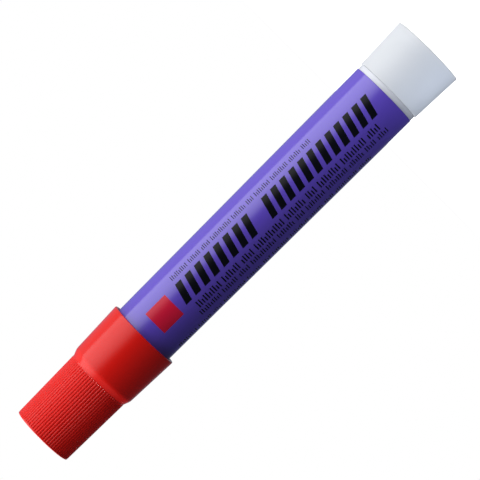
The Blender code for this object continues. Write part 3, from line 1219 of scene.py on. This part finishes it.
FRONT_LAMP = Lamp(
    name="front_lamp",
    place=(-0.002, -0.045, 0.022),
    aim=(0.0, 0.0, 0.022),
    size=0.03,
    power=0.0015,
    light=Light.PALE,
)
TABLE_LAMP = Lamp(
    name="table_lamp",
    place=(-0.06, -0.05, -0.05),
    aim=(0.0, 0.0, 0.03),
    size=0.05,
    power=0.0056,
)


@dataclass(frozen=True)
class Studio:
    """A white set: a broad sweep of light at +X, a fill from over the cap, and lamps.

    Attributes:
        sweep: Angle from the front in degrees, towards +X, and the light from there.
        lean: How far the sweep turns where it stands high, in degrees.
        lean_range: Sines of the angles above the floor between which it turns.
        high_levels: How much stronger each light is where the sweep stands high.
        dome: Sine of the angle above the floor, and the fill from there.
        strength: Light of a level of one.
        lamps: The lamps over the cap, beside both ends, in front, below and behind.
        floor_size: Half the width of the floor.
        floor_drop: How far the floor lies below the tail face.
        floor_grey: Colour of the floor, the same in red, green and blue.
        floor_glow: Light that the floor gives off, which makes it almost white.
    """

    sweep: tuple[tuple[float, float, Light], ...] = (
        (-180.0, 0.12, Light.FILL),
        (-155.0, 0.07, Light.FILL),
        (-140.0, 0.027, Light.FILL),
        (-30.0, 0.027, Light.FILL),
        (0.0, 0.022, Light.FILL),
        (12.0, 0.05, Light.KEY),
        (20.0, 0.18, Light.KEY),
        (28.0, 0.42, Light.KEY),
        (36.0, 0.58, Light.KEY),
        (47.0, 0.74, Light.KEY),
        (60.0, 0.85, Light.KEY),
        (94.5, 0.92, Light.KEY),
        (96.5, 0.26, Light.KEY),
        (120.0, 0.22, Light.KEY),
        (140.0, 0.17, Light.FILL),
        (180.0, 0.12, Light.FILL),
    )
    lean: float = 3.0
    lean_range: tuple[float, float] = (0.08, 0.125)
    high_levels: tuple[tuple[Light, float], ...] = (
        (Light.KEY, 1.1),
        (Light.FILL, 0.72),
    )
    dome: tuple[tuple[float, float, Light], ...] = (
        (0.0, 0.0, Light.KEY),
        (0.5, 0.0, Light.KEY),
        (0.8, 0.14, Light.KEY),
        (0.92, 0.75, Light.KEY),
        (1.0, 1.0, Light.KEY),
    )
    strength: float = 2.2
    lamps: tuple[Lamp, ...] = (
        END_LAMP,
        CAP_LAMP,
        TAIL_LAMP,
        SEAM_LAMP,
        FRONT_LAMP,
        TABLE_LAMP,
        BACK_LAMP,
    )
    floor_size: float = 0.6
    floor_drop: float = 0.00005
    floor_grey: float = 0.5
    floor_glow: float = 0.85

    def build(self) -> None:
        """Build the surroundings, the lamps and the floor."""
        bpy.context.scene.view_settings.view_transform = "Standard"
        self._world()
        for lamp in self.lamps:
            lamp.build()
        self._floor()

    def _world(self) -> None:
        """White to the camera, and the sweep and the dome of light to all else."""
        world = bpy.data.worlds.new("studio")
        bpy.context.scene.world = world
        world.use_nodes = True
        tree = world.node_tree
        nodes, link = tree.nodes, tree.links.new
        nodes.clear()
        studio = nodes.new("ShaderNodeBackground")
        studio.inputs["Strength"].default_value = self.strength
        link(self._light(tree), studio.inputs["Color"])
        white = nodes.new("ShaderNodeBackground")
        white.inputs["Color"].default_value = OPAQUE_WHITE
        seen = nodes.new("ShaderNodeLightPath")
        mix = nodes.new("ShaderNodeMixShader")
        link(seen.outputs["Is Camera Ray"], mix.inputs[0])
        link(studio.outputs[0], mix.inputs[1])
        link(white.outputs[0], mix.inputs[2])
        output = nodes.new("ShaderNodeOutputWorld")
        link(mix.outputs[0], output.inputs["Surface"])

    def _light(self, tree: bpy.types.NodeTree) -> bpy.types.NodeSocket:
        """Add the dome to the sweep, which leans where it stands high.

        Args:
            tree: The world's nodes.

        Returns:
            The light from each direction.
        """
        nodes, link = tree.nodes, tree.links.new
        way = nodes.new("ShaderNodeSeparateXYZ")
        link(nodes.new("ShaderNodeTexCoord").outputs["Generated"], way.inputs[0])
        share = self._bearing(tree, way)
        low = self._ramp(tree, share, self._turns(0.0, {}))
        leant = self._turns(self.lean, dict(self.high_levels))
        high = self._ramp(tree, share, leant)
        rise = nodes.new("ShaderNodeMapRange")
        lean_from, lean_to = self.lean_range
        rise.inputs["From Min"].default_value = lean_from
        rise.inputs["From Max"].default_value = lean_to
        link(way.outputs["Z"], rise.inputs["Value"])
        sweep = nodes.new("ShaderNodeMix")
        sweep.data_type = "RGBA"
        link(rise.outputs["Result"], sweep.inputs[MixSocket.FACTOR])
        link(low, sweep.inputs[MixSocket.FIRST])
        link(high, sweep.inputs[MixSocket.SECOND])
        dome = self._ramp(tree, way.outputs["Z"], self.dome)
        both = nodes.new("ShaderNodeMix")
        both.data_type = "RGBA"
        both.blend_type = "ADD"
        both.inputs[MixSocket.FACTOR].default_value = 1.0
        link(sweep.outputs[MixSocket.RESULT], both.inputs[MixSocket.FIRST])
        link(dome, both.inputs[MixSocket.SECOND])
        return both.outputs[MixSocket.RESULT]

    @staticmethod
    def _bearing(
        tree: bpy.types.NodeTree, way: bpy.types.Node
    ) -> bpy.types.NodeSocket:
        """Work out how far round the axis a direction is.

        Args:
            tree: The world's nodes.
            way: The node with the parts of the direction.

        Returns:
            The share of a full turn, counted from the back, with a half at the front.
        """
        nodes, link = tree.nodes, tree.links.new
        front = nodes.new("ShaderNodeMath")
        front.operation = "MULTIPLY"
        front.inputs[1].default_value = -1.0
        link(way.outputs["Y"], front.inputs[0])
        angle = nodes.new("ShaderNodeMath")
        angle.operation = "ARCTAN2"
        link(way.outputs["X"], angle.inputs[0])
        link(front.outputs[0], angle.inputs[1])
        share = nodes.new("ShaderNodeMapRange")
        share.inputs["From Min"].default_value = -math.pi
        share.inputs["From Max"].default_value = math.pi
        link(angle.outputs[0], share.inputs["Value"])
        return share.outputs["Result"]

    def _turns(
        self, lean: float, levels: dict[Light, float]
    ) -> list[tuple[float, float, Light]]:
        """The stops of the sweep at one height.

        Args:
            lean: How far it is turned, in degrees.
            levels: How much stronger each light is.

        Returns:
            Place on the ramp from 0 to 1, level and colour of each stop.
        """
        turns = []
        for degrees, level, light in self.sweep:
            spot = min((degrees + lean + 180.0) / 360.0, 1.0)
            turns.append((spot, level * levels.get(light, 1.0), light))
        return turns

    @staticmethod
    def _ramp(
        tree: bpy.types.NodeTree,
        place: bpy.types.NodeSocket,
        levels: Sequence[tuple[float, float, Light]],
    ) -> bpy.types.NodeSocket:
        """Add a colour ramp.

        Args:
            tree: The world's nodes.
            place: What picks the place on the ramp.
            levels: Place on the ramp from 0 to 1, level and colour of each stop.

        Returns:
            The ramp's colour.
        """
        ramp = tree.nodes.new("ShaderNodeValToRGB")
        tree.links.new(place, ramp.inputs["Fac"])
        stops = ramp.color_ramp.elements
        while len(stops) > 1:
            stops.remove(stops[-1])
        for index, (spot, level, light) in enumerate(levels):
            stop = stops[0] if index == 0 else stops.new(spot)
            stop.position = spot
            stop.color = (*(level * part for part in light.value), 1.0)
        return ramp.outputs["Color"]

    def _floor(self) -> None:
        """A pale floor with a faint soft shadow, seen by the camera alone."""
        shape = bmesh.new()
        bmesh.ops.create_grid(shape, x_segments=1, y_segments=1, size=self.floor_size)
        mesh = bpy.data.meshes.new("floor")
        shape.to_mesh(mesh)
        shape.free()
        floor = bpy.data.objects.new("floor", mesh)
        floor.location.z = -self.floor_drop
        bpy.context.scene.collection.objects.link(floor)
        material = bpy.data.materials.new("pale_floor")
        material.use_nodes = True
        shader = material.node_tree.nodes["Principled BSDF"]
        grey = self.floor_grey
        shader.inputs["Base Color"].default_value = (grey, grey, grey, 1.0)
        shader.inputs["Roughness"].default_value = 1.0
        shader.inputs["Specular IOR Level"].default_value = 0.0
        shader.inputs["Emission Color"].default_value = OPAQUE_WHITE
        shader.inputs["Emission Strength"].default_value = self.floor_glow
        mesh.materials.append(material)
        floor.visible_diffuse = False
        floor.visible_glossy = False
        floor.visible_transmission = False
        floor.visible_shadow = False


def main() -> None:
    """Build the studio and the marker."""
    logging.basicConfig(level=logging.INFO, format="%(name)s: %(message)s")
    Viewpoint().build()
    barrel = Barrel()
    barrel.build()
    PrintedMarks(barrel=barrel).build()
    TailDrive().build()
    PaintFeed().build()
    Cap().build()
    Studio().build()


if __name__ == "__main__":
    main()
